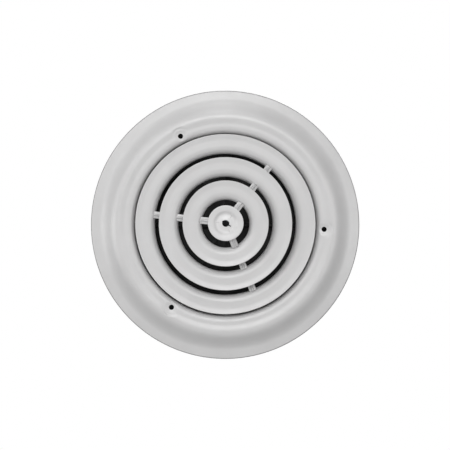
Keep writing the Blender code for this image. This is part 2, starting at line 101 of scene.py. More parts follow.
# Duct collar
COLLAR_BEAD_Z = 10.0 * MM
COLLAR_BEAD_HALF = 2.4 * MM
COLLAR_BEAD_RISE = 0.9 * MM
SEAM_ANGLE = 205.0
SEAM_LAP = 12.0
SEAM_SPOT_ZS = (16.0 * MM, 24.0 * MM, 32.0 * MM)
SEAM_SPOT_R = 1.6 * MM

# Air rings: node and neck radius, and how far a lip reaches past its CAD ring
RINGS = (("ring_large", 77.2 * MM), ("ring_medium", 51.4 * MM), ("ring_small", 25.9 * MM))
LIP_REACH = {"ring_large": 0.6 * MM}
# A ring's lip from its edge inwards: distance in, height above the edge, dz/dr
RING_LIP = ((0.0, 0.0, -0.14), (3.5 * MM, 0.57 * MM, -0.185), (7.5 * MM, 0.95 * MM, 0.0))
RING_LIP_RISE = RING_LIP[-1][1]
RING_THROAT_RADII = (9.0 * MM, 6.0 * MM)

# Centre disc, from its edge to the hub: radius, height above its lip, dz/dr
DISC_EDGE_R = 0.55 * MM
DISC_FACE = (
    (17.2 * MM, 0.12 * MM, -0.1),
    (14.6 * MM, 0.35 * MM, -0.14),
    (12.1 * MM, 1.15 * MM, -0.6),
    (9.4 * MM, 2.0 * MM, 0.0),
    (6.2 * MM, 1.7 * MM, 0.18),
    (3.0 * MM, 1.05 * MM, 0.22),
)
# Reach of the paler tone painted on the disc as a highlight: the hub, then the land at half strength
HUB_R = 9.2 * MM
HUB_FADE = 0.8 * MM
DISC_REACH = 19.6 * MM
DISC_FADE = 0.5 * MM
DRIVER_HOLE_R = 3.85 * MM
KEYWAY_WIDTH = 1.45 * MM
KEYWAY_REACH = (-4.6 * MM, 6.4 * MM)
KEYWAY_ANGLE = 32.0

# Arms: the last fold is where the strip comes level above the disc
ARM_ANGLES = (67.5, 187.5, 307.5)
ARM_WIDTH = 7.4 * MM
ARM_CAD_HALF = 0.6 * MM
ARM_TAB_R = 98.5 * MM
ARM_TAB_TOP_Z = 11.0 * MM
ARM_FOOT_RADII = (10.2 * MM, 7.2 * MM)
ARM_LAST_FOLD_R = 17.5 * MM
ARM_INNER_R = 6.8 * MM
ARM_FOLD_R = 1.4 * MM
ARM_STEP = 0.9 * MM
ARM_PLAIN_NEAR_NECK = (2.4 * MM, 4.2 * MM)
ARM_CROWN = 0.7 * MM
ARM_RIB_RISE = 1.1 * MM
ARM_RIB_HALF = 1.7 * MM

# Damper: hinge and blades
HINGE_Z = 36.0 * MM
DAMPER_RING_R = 98.6 * MM
ROD_R = 2.0 * MM
KNUCKLE_INNER_R = 2.3 * MM
KNUCKLE_OUTER_R = 3.1 * MM
KNUCKLE_ROOM_R = 3.45 * MM
KNUCKLE_ENDS = (8.2 * MM, 28.0 * MM, 49.3 * MM, 70.3 * MM, 91.6 * MM)
BLADE_R = 96.8 * MM
BLADE_EDGE_Y = 2.7 * MM
BLADE_BEAD_R = 79.0 * MM
BLADE_BEAD_HALF = 3.2 * MM
BLADE_BEAD_RISE = 1.0 * MM
BLADE_RIB_TURNS = (60.0, 120.0)
BLADE_RIB_HALF = 2.8 * MM
BLADE_RIB_START = (16.0 * MM, 22.0 * MM)
BLADE_RIB_END = (58.0 * MM, 66.0 * MM)
OPEN_ANGLE = math.radians(80.0)

# Damper: bridge and its rivets
RIVET_R = 1.5 * MM
RIVET_HEAD_R = 2.8 * MM
RIVET_ZS = (18.0 * MM, 25.0 * MM)
RIVET_HOLE_R = 1.8 * MM
BRIDGE_END_Y = 97.2 * MM
BRIDGE_THICKNESS = 1.2 * MM
BRIDGE_HOLE_R = 3.6 * MM
BRIDGE_CORNER_R = 3.0 * MM
BRIDGE_FOLD_R = 2.6 * MM
BRIDGE_STEP = 1.5 * MM
BRIDGE_RIB_RISE = 0.9 * MM
BRIDGE_RIB_HALF = 3.4 * MM
BRIDGE_RIB_START = (11.0 * MM, 17.0 * MM)
BRIDGE_RIB_END = (76.0 * MM, 84.0 * MM)

# Damper: screw, nut and cam slots
THREAD_R = 3.175 * MM
THREAD_PITCH = 1.27 * MM
THREAD_DEPTH = 0.7 * MM
NUT_TRAVEL = 12.7 * MM
NUT_DROP = 19.0 * MM
NUT_HOLE_R = 3.5 * MM
PIN_Y = 8.0 * MM
PIN_R = 1.2 * MM
PIN_CLEARANCE = 0.35 * MM
LUG_X = (5.6 * MM, 6.4 * MM)
LUG_MARGIN = 2.2 * MM


# ---------------------------------------------------------------- materials

def nodes_of(name):
    """A new node material, its tree and its shader."""
    material = bpy.data.materials.new(name)
    material.use_nodes = True
    tree = material.node_tree
    return material, tree, tree.nodes["Principled BSDF"]


def noise(tree, scale, detail=2.0, roughness=0.5):
    """A noise value in the piece's own space, scale in cells a metre."""
    coordinates = tree.nodes.new("ShaderNodeTexCoord")
    texture = tree.nodes.new("ShaderNodeTexNoise")
    texture.inputs["Scale"].default_value = scale
    texture.inputs["Detail"].default_value = detail
    texture.inputs["Roughness"].default_value = roughness
    tree.links.new(coordinates.outputs["Object"], texture.inputs["Vector"])
    return texture.outputs["Fac"]


def ramp(tree, source, stops):
    """A colour ramp over a value; stops are (position, colour)."""
    node = tree.nodes.new("ShaderNodeValToRGB")
    elements = node.color_ramp.elements
    while len(elements) < len(stops):
        elements.new(0.5)
    for element, (position, colour) in zip(elements, stops):
        element.position = position
        element.color = (*colour, 1.0)
    tree.links.new(source, node.inputs["Fac"])
    return node.outputs["Color"]


def spread(tree, source, least, most):
    """A noise's usual 0.3 to 0.7 mapped to a range."""
    node = tree.nodes.new("ShaderNodeMapRange")
    node.inputs["From Min"].default_value = 0.3
    node.inputs["From Max"].default_value = 0.7
    node.inputs["To Min"].default_value = least
    node.inputs["To Max"].default_value = most
    tree.links.new(source, node.inputs["Value"])
    return node.outputs["Result"]


def bump(tree, shader, heights):
    """Stacked bumps: (height value, distance in metres, strength)."""
    normal = None
    for height, distance, strength in heights:
        node = tree.nodes.new("ShaderNodeBump")
        node.inputs["Distance"].default_value = distance
        node.inputs["Strength"].default_value = strength
        tree.links.new(height, node.inputs["Height"])
        if normal:
            tree.links.new(normal, node.inputs["Normal"])
        normal = node.outputs["Normal"]
    tree.links.new(normal, shader.inputs["Normal"])


def within(tree, radius, fade):
    """One inside a radius about the part's axis, zero outside."""
    coordinates = tree.nodes.new("ShaderNodeTexCoord")
    flatten = tree.nodes.new("ShaderNodeVectorMath")
    flatten.operation = "MULTIPLY"
    flatten.inputs[1].default_value = (1.0, 1.0, 0.0)
    tree.links.new(coordinates.outputs["Object"], flatten.inputs[0])
    length = tree.nodes.new("ShaderNodeVectorMath")
    length.operation = "LENGTH"
    tree.links.new(flatten.outputs["Vector"], length.inputs[0])
    level = tree.nodes.new("ShaderNodeMapRange")
    level.interpolation_type = "SMOOTHSTEP"
    level.inputs["From Min"].default_value = radius
    level.inputs["From Max"].default_value = radius + fade
    level.inputs["To Min"].default_value = 1.0
    level.inputs["To Max"].default_value = 0.0
    tree.links.new(length.outputs["Value"], level.inputs["Value"])
    return level.outputs["Result"]


def tinted(tree, inner, outer, level):
    """One tone where the level is one and another where it is zero; each a colour or a socket."""
    mix = tree.nodes.new("ShaderNodeMix")
    mix.data_type = "RGBA"
    tree.links.new(level, mix.inputs["Factor"])
    for socket, tone in (("A", outer), ("B", inner)):
        if isinstance(tone, tuple):
            mix.inputs[socket].default_value = (*tone, 1.0)
        else:
            tree.links.new(tone, mix.inputs[socket])
    return mix.outputs["Result"]


def finish(name, tones, tone_scale, roughness, bumps, metallic=0.0, specular=0.5, painted_light=None):
    """A coating: two tones mottled by noise, an uneven roughness and fine bumps.

    The last argument holds a paler tone painted on the disc's hub as a highlight, half as strong on
    its land, and a darker tone painted on the rim's edge as shade.
    """
    material, tree, shader = nodes_of(name)
    stops = [(0.3, tones[0]), (0.7, tones[1])]
    tone = ramp(tree, noise(tree, tone_scale, 4.0, 0.55), stops)
    # Painted highlight: a paler tone on the hub, half as strong on the land. Painted shade: a darker
    # tone on the rim's edge.
    if painted_light:
        hub_highlight, rim_edge_shade = painted_light
        both = tree.nodes.new("ShaderNodeMath")
        both.operation = "ADD"
        tree.links.new(within(tree, HUB_R, HUB_FADE), both.inputs[0])
        tree.links.new(within(tree, DISC_REACH, DISC_FADE), both.inputs[1])
        level = tree.nodes.new("ShaderNodeMapRange")
        level.inputs["From Max"].default_value = 2.0
        tree.links.new(both.outputs["Value"], level.inputs["Value"])
        tone = tinted(tree, hub_highlight, tone, level.outputs["Result"])
        tone = tinted(tree, tone, rim_edge_shade, within(tree, RIM_R - RIM_EDGE, RIM_EDGE / 2))
    tree.links.new(tone, shader.inputs["Base Color"])
    rough = spread(tree, noise(tree, 2.4 * tone_scale, 3.0), *roughness)
    tree.links.new(rough, shader.inputs["Roughness"])
    shader.inputs["Metallic"].default_value = metallic
    shader.inputs["Specular IOR Level"].default_value = specular
    bump(tree, shader, [(noise(tree, scale, 2.0), distance, s) for scale, distance, s in bumps])
    return material


FINISHES = {
    "white_enamel": finish(
        "white_powder_coat",
        ((0.602, 0.598, 0.600), (0.632, 0.628, 0.630)),
        38.0,
        (0.32, 0.4),
        [(26.0, 0.0006, 0.1), (1100.0, 0.00008, 0.25)],
        specular=0.9,
        # The painted highlight's tone for the hub, then the painted shade's tone for the rim's edge
        painted_light=((0.70, 0.696, 0.698), (0.26, 0.257, 0.26)),
    ),
    "black_enamel": finish(
        "black_paint",
        ((0.007, 0.007, 0.007), (0.010, 0.010, 0.010)),
        60.0,
        (0.5, 0.6),
        [(40.0, 0.0003, 0.06), (900.0, 0.00008, 0.25)],
        specular=0.35,
    ),
    "zinc_plate": finish(
        "zinc_plate",
        ((0.42, 0.43, 0.45), (0.62, 0.63, 0.64)),
        220.0,
        (0.26, 0.44),
        [(700.0, 0.00005, 0.3)],
        metallic=1.0,
    ),
    "black_oxide": finish(
        "black_oxide",
        ((0.012, 0.012, 0.013), (0.035, 0.035, 0.037)),
        400.0,
        (0.4, 0.6),
        [(800.0, 0.00004, 0.3)],
        metallic=1.0,
    ),
}


# ---------------------------------------------------------------- shapes

def polar(radius, degrees, z=0.0):
    """A point at a radius and an angle about Z."""
    angle = math.radians(degrees)
    return Vector((radius * math.cos(angle), radius * math.sin(angle), z))


def arc(centre, radii, start, end, count):
    """Points of an elliptical arc in a plane, from start to end degrees, both included."""
    points = []
    for i in range(count):
        angle = math.radians(start + (end - start) * i / (count - 1))
        points.append((centre[0] + radii[0] * math.cos(angle), centre[1] + radii[1] * math.sin(angle)))
    return points


def eased(t, run, start, end):
    """Height at t, from 0 to 1, of a smooth curve between two ends of (z, dz/dr), run apart."""
    (z0, slope0), (z1, slope1) = start, end
    z = z0 * (2 * t**3 - 3 * t**2 + 1) + z1 * (3 * t**2 - 2 * t**3)
    return z + run * (slope0 * (t**3 - 2 * t**2 + t) + slope1 * (t**3 - t**2))


def sweep(knots, count):
    """Points of a smooth profile through knots of (radius, z, dz/dr), count to each stretch."""
    points = [tuple(knots[0][:2])]
    for (r0, *start), (r1, *end) in zip(knots, knots[1:]):
        run = r1 - r0
        for i in range(1, count + 1):
            t = i / count
            points.append((r0 + run * t, eased(t, run, start, end)))
    return points


def smooth_step(value, start, end):
    """One below start, zero past end, smooth between."""
    t = min(max((value - start) / (end - start), 0.0), 1.0)
    return 1.0 - t * t * (3.0 - 2.0 * t)


def hump(distance, half_width):
    """A rounded bead's height, one in its middle and zero at its edges."""
    return 0.5 + 0.5 * math.cos(math.pi * min(abs(distance) / half_width, 1.0))


def rounded(points, radius, count=6, closed=True):
    """An outline with each corner sharper than 25 degrees replaced by a curve."""
    result = []
    total = len(points)
    for i in range(total):
        here = Vector(points[i])
        before = Vector(points[i - 1]) - here
        after = Vector(points[(i + 1) % total]) - here
        end_point = not closed and i in (0, total - 1)
        if end_point or before.angle(after) > math.radians(155):
            result.append(tuple(here))
            continue
        angle = before.angle(after)
        reach = min(radius / math.tan(angle / 2), before.length * 0.45, after.length * 0.45)
        start = here + before.normalized() * reach
        end = here + after.normalized() * reach
        for j in range(count):
            t = j / (count - 1)
            result.append(tuple(start * (1 - t) ** 2 + here * (2 * t * (1 - t)) + end * t**2))
    return result


def finish_mesh(name, bm, sharp=35):
    """A linked object from a bmesh, smooth but for edges sharper than an angle in degrees."""
    bmesh.ops.remove_doubles(bm, verts=bm.verts, dist=0.0000005)
    bmesh.ops.recalc_face_normals(bm, faces=bm.faces)
    mesh = bpy.data.meshes.new(name)
    bm.to_mesh(mesh)
    bm.free()
    mesh.shade_smooth()
    mesh.set_sharp_from_angle(angle=math.radians(sharp))
    piece = bpy.data.objects.new(name, mesh)
    bpy.context.scene.collection.objects.link(piece)
    return piece


def skin(bm, rings, closed_rings=True, closed_path=False):
    """Quads between neighbouring rings of vertices."""
    count = len(rings[0])
    pairs = list(zip(rings, rings[1:]))
    if closed_path:
        pairs.append((rings[-1], rings[0]))
    for ring, after in pairs:
        for j in range(count if closed_rings else count - 1):
            k = (j + 1) % count
            bm.faces.new((ring[j], after[j], after[k], ring[k]))


def lathe(name, outline, closed=True, stations=STATIONS, shape=None, sharp=35):
    """A section of (radius, z) points carried round Z. shape(point, r, z) may move each point.

    An open section starts and ends on the axis.
    """
    bm = bmesh.new()
    inside = outline if closed else outline[1:-1]
    rings = []
    for i in range(stations):
        ring = []
        for r, z in inside:
            point = polar(r, 360.0 * i / stations, z)
            if shape:
                point = shape(point, r, z)
            ring.append(bm.verts.new(point))
        rings.append(ring)
    skin(bm, rings, closed_rings=closed, closed_path=True)
    if not closed:
        for end, place in ((outline[0], 0), (outline[-1], -1)):
            pole = bm.verts.new((0.0, 0.0, end[1]))
            for ring, after in zip(rings, rings[1:] + rings[:1]):
                bm.faces.new((pole, ring[place], after[place]))
    return finish_mesh(name, bm, sharp)


def divided(path, step):
    """A path's points with others between them about a step apart, all but the last one."""
    points = []
    for a, b in zip(path, path[1:]):
        count = max(1, int(math.dist(a, b) / step))
        points += [Vector(a).lerp(Vector(b), i / count) for i in range(count)]
    return points


def directions(path):
    """The direction of a path at each of its points."""
    last = len(path) - 1
    return [(path[min(i + 1, last)] - path[max(i - 1, 0)]).normalized() for i in range(last + 1)]


def strip(name, spine, section, sharp):
    """A section carried along a spine; section(point, along) gives its points in space."""
    bm = bmesh.new()
    rings = []
    for point, along in zip(spine, directions(spine)):
        rings.append([bm.verts.new(spot) for spot in section(point, along)])
    skin(bm, rings)
    bm.faces.new(rings[0])
    bm.faces.new(rings[-1])
    return finish_mesh(name, bm, sharp)


def extrude(name, outline, half, sharp=35):
    """A flat outline in XY given a thickness each side of z = 0."""
    bm = bmesh.new()
    rings = [[bm.verts.new((x, y, z)) for x, y in outline] for z in (-half, half)]
    skin(bm, rings)
    bm.faces.new(rings[0])
    bm.faces.new(rings[1])
    return finish_mesh(name, bm, sharp)


def bars(radius, spans, segments=48):
    """Straight round bars in one mesh, one for each (start, end)."""
    bm = bmesh.new()
    for start, end in spans:
        start = Vector(start)
        end = Vector(end)
        turn = (end - start).to_track_quat("Z", "Y").to_matrix().to_4x4()
        bmesh.ops.create_cone(
            bm,
            cap_ends=True,
            segments=segments,
            radius1=radius,
            radius2=radius,
            depth=(end - start).length,
            matrix=Matrix.Translation((start + end) / 2) @ turn,
        )
    return finish_mesh("tool", bm)


def slab(corner, opposite, turn=0.0):
    """A box between two corners, turned about Z."""
    bm = bmesh.new()
    bmesh.ops.create_cube(bm, size=1.0)
    corner = Vector(corner)
    opposite = Vector(opposite)
    bmesh.ops.scale(bm, vec=opposite - corner, verts=bm.verts)
    bmesh.ops.translate(bm, vec=(corner + opposite) / 2, verts=bm.verts)
    bmesh.ops.rotate(bm, matrix=Matrix.Rotation(turn, 3, "Z"), verts=bm.verts)
    return finish_mesh("tool", bm)


def move(piece, matrix):
    """Move a piece's mesh, so that its object stays at the origin."""
    piece.data.transform(matrix)
    return piece


def carve(piece, cuts=(), joins=(), edge=0.0, sharp=35):
    """Join and cut with tools, ease sharp edges, and keep the result as a plain mesh."""
    for operation, tools in (("UNION", joins), ("DIFFERENCE", cuts)):
        for tool in tools:
            modifier = piece.modifiers.new("carve", "BOOLEAN")
            modifier.operation = operation
            modifier.object = tool
    if edge:
        bevel = piece.modifiers.new("edge", "BEVEL")
        bevel.width = edge
        bevel.segments = 2
        bevel.limit_method = "ANGLE"
        bevel.angle_limit = math.radians(50)
    bpy.context.view_layer.update()
    evaluated = piece.evaluated_get(bpy.context.evaluated_depsgraph_get())
    mesh = bpy.data.meshes.new_from_object(evaluated)
    piece.modifiers.clear()
    piece.data = mesh
    mesh.shade_smooth()
    mesh.set_sharp_from_angle(angle=math.radians(sharp))
    for tool in (*joins, *cuts):
        bpy.data.objects.remove(tool, do_unlink=True)
    return piece


def dress(piece, node, slot, body="diffuser"):
    """Give a piece its finish and its body, and hide the CAD node that it stands for."""
    piece.data.materials.clear()
    piece.data.materials.append(FINISHES[slot])
    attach(piece, body)
    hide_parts(node)


# ---------------------------------------------------------------- pressed face

LIP_START = -65.0
HEM_TOP = (RIM_R - HEM_WIDTH, -HEM_DEPTH / 2)
HEM_CURVE = arc(HEM_TOP, (HEM_WIDTH, HEM_DEPTH / 2), 90, LIP_START, 16)
LAND_Z = HEM_CURVE[-1][1] - (HEM_CURVE[-1][0] - LAND_INNER_R) * LAND_SLOPE
FACE_KNOTS = (
    (*HEM_CURVE[-1], LAND_SLOPE),
    (LAND_INNER_R, LAND_Z, LAND_SLOPE),
    (RAMP_R, RAMP_Z, RAMP_SLOPE),
    (CREST_R, CREST_Z, 0.0),
    (FLOOR_OUTER_R, FLOOR_Z, 0.0),
)


def press_seat(point, r, z):
    """The ridge flattened to the floor at a seat, and a shallow well round each hole."""
    floor = FLOOR_Z + (SHEET if z > face_z(r) + SHEET / 2 else 0.0)
    for degrees in SEAT_ANGLES:
        centre = polar(SEAT_CIRCLE_R, degrees)
        distance = math.hypot(point.x - centre.x, point.y - centre.y)
        if r > FLOOR_OUTER_R and point.z < floor:
            point.z += (floor - point.z) * smooth_step(distance, SEAT_R, SEAT_R + SEAT_WALL)
        point.z += WELL_DEPTH * smooth_step(distance, WELL_R, WELL_R + WELL_WALL)
    return point


def face_z(r):
    """The visible side's height on the frame's ridge and floor."""
    for (r0, *start), (r1, *end) in zip(FACE_KNOTS, FACE_KNOTS[1:]):
        if r1 <= r <= r0:
            return eased((r - r0) / (r1 - r0), r1 - r0, start, end)
    return FLOOR_Z


def face_frame():
    """Hemmed rim, land, ridge, floor with screw seats, throat and stub neck, one pressing."""
    ridge = sweep(FACE_KNOTS, 14)
    throat = (NECK_R + THROAT_RADII[0], FLOOR_Z + THROAT_RADII[1])
    throat_back = (THROAT_RADII[0] - SHEET, THROAT_RADII[1] - SHEET)
    front = HEM_CURVE + ridge[1:]
    front.append((FLOOR_OUTER_R - MM, FLOOR_Z))
    front += arc(throat, THROAT_RADII, 270, 180, 18)
    front.append((NECK_R, STUB_TOP_Z - 0.1 * MM))
    back = [(NECK_R + 0.1 * MM, STUB_TOP_Z), (NECK_R + SHEET - 0.1 * MM, STUB_TOP_Z)]
    back.append((NECK_R + SHEET, STUB_TOP_Z - 0.1 * MM))
    back += arc(throat, throat_back, 180, 270, 16)
    back.append((FLOOR_OUTER_R - MM, FLOOR_Z + SHEET))
    back += [(r, z + SHEET) for r, z in reversed(ridge) if r < HEM_INNER_R - MM]
    back += [(HEM_INNER_R, face_z(HEM_INNER_R) + SHEET), (HEM_INNER_R, -0.3 * MM)]
    back.append((HEM_INNER_R + 0.3 * MM, 0.0))

    def press(point, r, z):
        on_sheet = NECK_R + 3 * MM < r < LAND_INNER_R and z < FLOOR_Z + 3 * MM
        return press_seat(point, r, z) if on_sheet else point

    piece = lathe("face_frame_pressing", front + back, shape=press, stations=400)
    spans = []
    for degrees in SEAT_ANGLES:
        seat = polar(SEAT_CIRCLE_R, degrees, FLOOR_Z)
        spans.append((seat - Vector((0, 0, 3 * MM)), seat + Vector((0, 0, 5 * MM))))
    carve(piece, [bars(SCREW_HOLE_R, spans)])
    dress(piece, "face_frame", "white_enamel")


def rivet_holes():
    """Tools for the rivets' holes through the ring, the bridge's tabs and the collar."""
    spans = []
    for y in (92 * MM, -92 * MM):
        for z in RIVET_ZS:
            spans.append(((0, y, z), (0, y * 1.13, z)))
    return bars(RIVET_HOLE_R, spans, 24)


def duct_collar():
    """The rolled neck, with a stop bead for the duct and a lapped, spot-welded seam."""
    bottom = low("duct_collar")[2]
    top = high("duct_collar")[2]
    outer = NECK_R + SHEET
    bead = []
    for i in range(17):
        offset = COLLAR_BEAD_HALF * (1 - i / 8)
        rise = COLLAR_BEAD_RISE * hump(offset, COLLAR_BEAD_HALF)
        bead.append((outer + rise, COLLAR_BEAD_Z + offset))
    soft = 0.15 * MM
    outline = [(outer - soft, top), (outer, top - soft)] + bead
    outline += [(outer, bottom + soft), (outer - soft, bottom), (NECK_R + soft, bottom)]
    outline += [(NECK_R, bottom + soft)]
    outline += [(r - SHEET, z) for r, z in reversed(bead)]
    outline += [(NECK_R, top - soft), (NECK_R + soft, top)]

    def seam(point, r, z):
        """The lap stands half a sheet proud."""
        turn = (math.degrees(math.atan2(point.y, point.x)) - SEAM_ANGLE) % 360.0
        if r > NECK_R + SHEET / 2 and turn < SEAM_LAP:
            scale = 1.0 + 0.5 * SHEET / r
            return Vector((point.x * scale, point.y * scale, point.z))
        return point

    piece = lathe("duct_collar_shell", outline, shape=seam, stations=360)
    spot_angle = SEAM_ANGLE + SEAM_LAP / 2
    spans = []
    for z in SEAM_SPOT_ZS:
        spans.append((polar(100 * MM, spot_angle, z), polar(101.05 * MM, spot_angle, z)))
    carve(piece, [rivet_holes()], [bars(SEAM_SPOT_R, spans, 24)])
    dress(piece, "duct_collar", "white_enamel")


def air_ring(node, neck_r):
    """A sloping lip with a rounded edge, an elliptical throat and a straight neck."""
    lip_r = high(node)[0] + LIP_REACH.get(node, 0.0)
    lip_z = low(node)[2]
    neck_top_z = high(node)[2]
    flange_z = lip_z + RING_LIP_RISE
    lip = sweep([(lip_r - inward, lip_z + up, slope) for inward, up, slope in RING_LIP], 9)
    centre = (neck_r + RING_THROAT_RADII[0], flange_z + RING_THROAT_RADII[1])
    back = (RING_THROAT_RADII[0] - SHEET, RING_THROAT_RADII[1] - SHEET)
    soft = 0.2 * MM
    edge = (lip_r - SHEET / 2, lip_z + SHEET / 2 + 0.02 * MM)
    outline = arc(edge, (SHEET / 2, SHEET / 2), 75, -80, 9)
    outline += [point for point in lip if point[0] < edge[0] - 0.2 * MM]
    outline += arc(centre, RING_THROAT_RADII, 270, 180, 18)
    outline += [(neck_r, neck_top_z - soft), (neck_r + soft, neck_top_z)]
    outline += [(neck_r + SHEET - soft, neck_top_z), (neck_r + SHEET, neck_top_z - soft)]
    outline += arc(centre, back, 180, 270, 16)
    outline += [(r, z + SHEET) for r, z in reversed(lip) if r < edge[0] - 0.2 * MM]
    piece = lathe(node + "_pressing", outline)
    dress(piece, node, "white_enamel")


def centre_disc():
    """A small dish round a hub that has the driver hole and a keyway across it."""
    lip_r = high("centre_disc")[0]
    lip_z = low("centre_disc")[2]
    face = sweep([(r, lip_z + up, slope) for r, up, slope in DISC_FACE], 8)
    hub_z = face[-1][1]
    edge = (lip_r - DISC_EDGE_R, lip_z + DISC_EDGE_R)
    outline = [(0.0, hub_z + SHEET)]
    outline += [(r, z + SHEET) for r, z in reversed(face)]
    outline += arc(edge, (DISC_EDGE_R, DISC_EDGE_R), 80, -90, 10)
    outline += face
    outline += [(0.0, hub_z)]
    piece = lathe("centre_disc_pressing", outline, closed=False, stations=144)
    under = hub_z - 2 * MM
    over = hub_z + 4 * MM
    hole = bars(DRIVER_HOLE_R, [((0, 0, under), (0, 0, over))], 64)
    keyway = slab(
        (KEYWAY_REACH[0], -KEYWAY_WIDTH / 2, under - MM),
        (KEYWAY_REACH[1], KEYWAY_WIDTH / 2, over + MM),
        math.radians(KEYWAY_ANGLE),
    )
    carve(piece, [hole, keyway])
    dress(piece, "centre_disc", "white_enamel")


# ---------------------------------------------------------------- arms

def arm_path():
    """The strip's middle line as (radius, z): a tab at the collar, then a tread to each ring."""
    path = [(ARM_TAB_R, ARM_TAB_TOP_Z), (ARM_TAB_R, high("ring_large")[2] + GAP + ARM_CAD_HALF)]
    for node, neck_r in RINGS:
        flange_z = low(node)[2] + RING_LIP_RISE
        centre = (neck_r + RING_THROAT_RADII[0], flange_z + RING_THROAT_RADII[1])
        foot = arc(centre, ARM_FOOT_RADII, 180, 225, 7)
        path += [(foot[0][0], high(node)[2] + GAP + ARM_CAD_HALF)] + foot
    disc_z = high("centre_disc")[2] + GAP + ARM_CAD_HALF
    return path + [(ARM_LAST_FOLD_R, disc_z), (ARM_INNER_R, disc_z)]


def pressing_level(point, along):
    """How far the strip is shaped: not on steep stretches, nor where it sits on a neck."""
    level = smooth_step(-abs(along.x), -0.9, -0.6)
    for node, neck_r in RINGS:
        near = math.hypot(point.x - neck_r, point.y - high(node)[2])
        level *= 1.0 - smooth_step(near, *ARM_PLAIN_NEAR_NECK)
    return level


def arm(index, degrees):
    """A folded strip with rounded bends, crowned and ribbed towards the room."""
    node = f"arm_{index + 1}"
    path = rounded(arm_path(), ARM_FOLD_R, closed=False)
    spine = divided(path, ARM_STEP) + [Vector(path[-1])]
    turn = Matrix.Rotation(math.radians(degrees), 3, "Z")
    across = [ARM_WIDTH / 2 * (i / 16 - 1) for i in range(33)]

    def section(point, along):
        normal = Vector((-along.y, along.x))
        level = pressing_level(point, along)
        spots = []
        for side in (1, -1):
            for w in across if side == 1 else across[::-1]:
                crown = ARM_CROWN * (1.0 - (2 * w / ARM_WIDTH) ** 2)
                rib = ARM_RIB_RISE * hump(w, ARM_RIB_HALF)
                spot = point + normal * (side * SHEET / 2 + level * (crown + rib))
                spots.append(turn @ Vector((spot.x, w, spot.y)))
        return spots

    piece = strip(node + "_strip", spine, section, 50)
    dress(piece, node, "white_enamel")


# ---------------------------------------------------------------- damper

def upright(side):
    """A lathed piece's own Z turned to point along +Y or -Y."""
    return Matrix.Rotation(math.radians(-90 * side), 4, "X")


def damper_ring():
    """A short sleeve inside the collar, lipped outwards at the top."""
    lip_r = high("damper_ring")[0]
    top = high("damper_ring")[2]
    bottom = low("damper_ring")[2]
    outer = DAMPER_RING_R + SHEET
    outline = [
        (lip_r, top),
        (lip_r, top - SHEET),
        (outer, top - SHEET),
        (outer, bottom),
        (DAMPER_RING_R, bottom),
        (DAMPER_RING_R, top),
    ]
    piece = lathe("damper_ring_shell", rounded(outline, 0.28 * MM, 5), sharp=50)
    reach = 103 * MM
    rod_holes = bars(KNUCKLE_INNER_R, [((-reach, 0, HINGE_Z), (reach, 0, HINGE_Z))])
    carve(piece, [rod_holes, rivet_holes()])
    dress(piece, "damper_ring", "black_enamel")


def damper_bridge():
    """A dropped strap with folded ends, round tab corners and a rib each side of its hole."""
    box_low = low("damper_bridge")
    box_high = high("damper_bridge")
    half = BRIDGE_THICKNESS / 2
    strap_z = box_low[2] + half
    width = box_high[0] - box_low[0]
    corner = BRIDGE_CORNER_R
    ends = [corner * (1 - math.cos(math.radians(11.25 * i))) for i in range(9)]
    tab = [(BRIDGE_END_Y, box_high[2] - end) for end in ends]
    path = [tab[-1], (BRIDGE_END_Y, strap_z), (-BRIDGE_END_Y, strap_z), (-BRIDGE_END_Y, tab[-1][1])]
    path = rounded(path, BRIDGE_FOLD_R, 9, closed=False)
    spine = [Vector(point) for point in tab[:-1]] + divided(path, BRIDGE_STEP)
    spine += [Vector((-y, z)) for y, z in reversed(tab)]

    def section(point, along):
        normal = Vector((along.y, -along.x))
        down = box_high[2] - point.y
        inset = corner - math.sqrt(max(corner**2 - max(corner - down, 0.0) ** 2, 0.0))
        reach = width / 2 - inset
        rib = smooth_step(abs(point.x), *BRIDGE_RIB_END)
        rib *= 1.0 - smooth_step(abs(point.x), *BRIDGE_RIB_START)
        spots = []
        for side in (1, -1):
            for j in range(25):
                x = side * reach * (j / 12 - 1)
                drop = side * half + BRIDGE_RIB_RISE * rib * hump(x, BRIDGE_RIB_HALF)
                spot = point - normal * drop
                spots.append((x, spot.x, spot.y))
        return spots

    piece = strip("damper_bridge_strap", spine, section, 40)
    screw_hole = bars(BRIDGE_HOLE_R, [((0, 0, strap_z - 3 * MM), (0, 0, strap_z + 3 * MM))])
    carve(piece, [screw_hole, rivet_holes()])
    dress(piece, "damper_bridge", "black_enamel")


def rivets():
    """A domed head inside, with the mandrel's dimple, and an upset tail outside."""
    tail = high("damper_rivet_1")[1]
    head = low("damper_rivet_1")[1]
    head_face = BRIDGE_END_Y - BRIDGE_THICKNESS / 2 - GAP
    tail_face = NECK_R + SHEET + GAP
    dome = arc((0.0, head_face - 0.15 * MM), (RIVET_HEAD_R, head_face - 0.15 * MM - head), 0, -72, 9)
    outline = [(0.0, tail)]
    outline += arc((1.5 * MM, tail_face), (0.6 * MM, tail - tail_face), 90, 0, 6)
    outline += [(RIVET_R, tail_face), (RIVET_R, head_face), (RIVET_HEAD_R, head_face)]
    outline += dome
    outline += [(0.7 * MM, head + 0.1 * MM), (0.55 * MM, head + 0.4 * MM), (0.0, head + 0.4 * MM)]
    number = 0
    for side in (1, -1):
        for z in RIVET_ZS:
            number += 1
            node = f"damper_rivet_{number}"
            piece = lathe(node + "_body", outline, closed=False, stations=40)
            move(piece, Matrix.Translation((0, 0, z)) @ upright(side))
            dress(piece, node, "zinc_plate")


